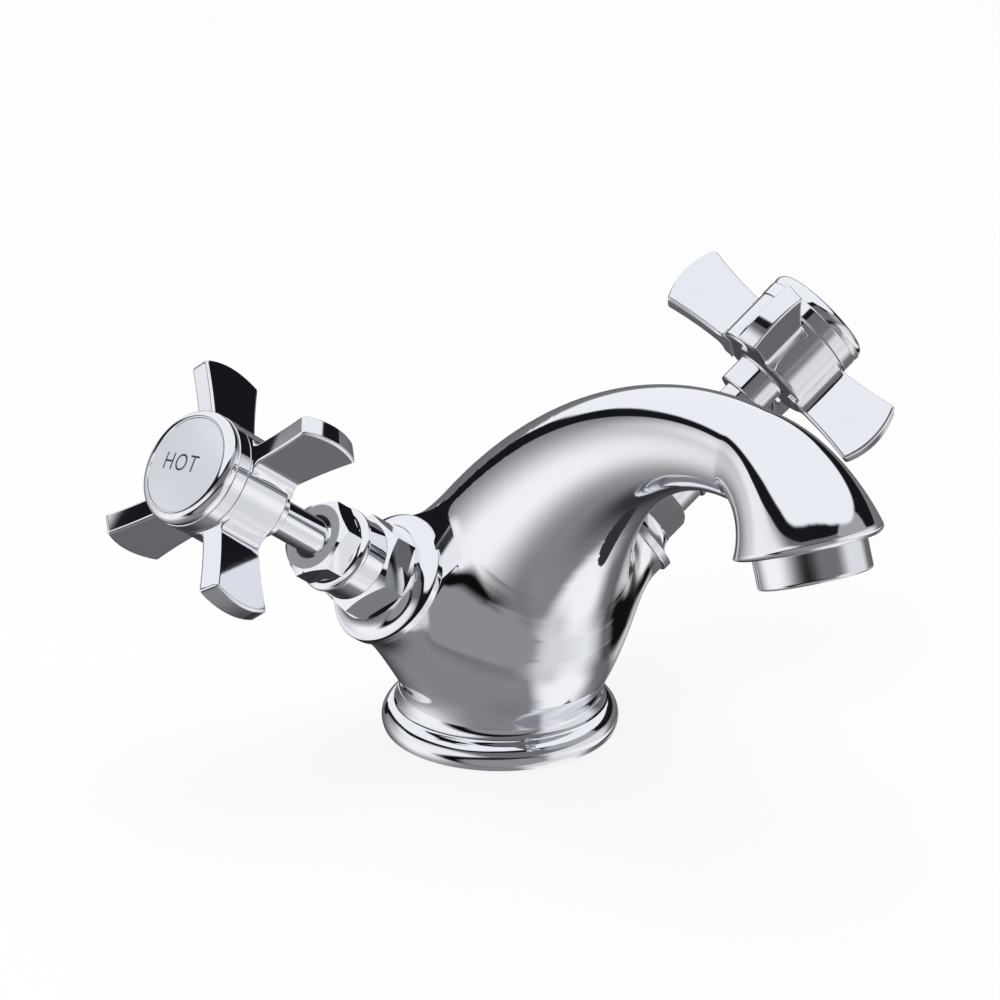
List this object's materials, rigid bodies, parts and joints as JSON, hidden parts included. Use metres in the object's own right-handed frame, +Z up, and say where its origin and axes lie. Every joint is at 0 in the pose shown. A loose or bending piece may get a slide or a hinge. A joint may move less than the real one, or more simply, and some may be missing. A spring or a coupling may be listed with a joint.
{
  "type": "basin mixer tap",
  "caption": "Deck basin mixer tap with a cast vase body, a swan-neck spout and cross handles on angled ceramic-disc valves.",
  "frame": {"origin": "centre of the base underside, on the deck plane", "axes": "+Z up, -Y toward the spout outlet, -X toward the hot side and +X toward the cold side"},
  "size_m": [0.1811, 0.1509, 0.1045],
  "materials": {
    "body_chrome": "polished chrome plating on a brass casting",
    "trim_chrome": "polished chrome plating on turned brass",
    "handle_chrome": "polished chrome plating",
    "spindle_brass": "turned, chrome plated where it shows",
    "screw_steel": "plain stainless",
    "disc_ceramic": "lapped alumina",
    "index_face": "satin grey-white",
    "seal_rubber": "matt black",
    "fibre_washer": "matt dark red",
    "insert_plastic": "moulded"
  },
  "bodies": {
    "tap_body": {"body": "body_chrome", "base_seal": "seal_rubber", "aerator_housing": "trim_chrome", "aerator_insert": "insert_plastic", "aerator_washer": "seal_rubber", "hot_headwork": "trim_chrome", "hot_headwork_seal": "fibre_washer", "hot_seat_seal": "seal_rubber", "hot_fixed_disc": "disc_ceramic", "hot_thrust_washer": "insert_plastic", "hot_gland_nut": "trim_chrome", "cold_headwork": "trim_chrome", "cold_headwork_seal": "fibre_washer", "cold_seat_seal": "seal_rubber", "cold_fixed_disc": "disc_ceramic", "cold_thrust_washer": "insert_plastic", "cold_gland_nut": "trim_chrome"},
    "hot_control": {"hot_spindle": "spindle_brass", "hot_spindle_orings": "seal_rubber", "hot_moving_disc": "disc_ceramic", "hot_handle": "handle_chrome", "hot_trim_ring": "trim_chrome", "hot_bezel": "trim_chrome", "hot_index_disc": "index_face", "hot_handle_screw": "screw_steel"},
    "cold_control": {"cold_spindle": "spindle_brass", "cold_spindle_orings": "seal_rubber", "cold_moving_disc": "disc_ceramic", "cold_handle": "handle_chrome", "cold_trim_ring": "trim_chrome", "cold_bezel": "trim_chrome", "cold_index_disc": "index_face", "cold_handle_screw": "screw_steel"}
  },
  "joints": [
    {"name": "hot_turn", "type": "hinge", "parent": "tap_body", "child": "hot_control", "pos_m": [-0.03949, -0.00311, 0.04951], "axis": [-0.7898, -0.0622, 0.6101], "range_deg": [0, 90]},
    {"name": "cold_turn", "type": "hinge", "parent": "tap_body", "child": "cold_control", "pos_m": [0.03949, -0.00311, 0.04951], "axis": [0.7898, -0.0622, 0.6101], "range_deg": [-90, 0]}
  ]
}
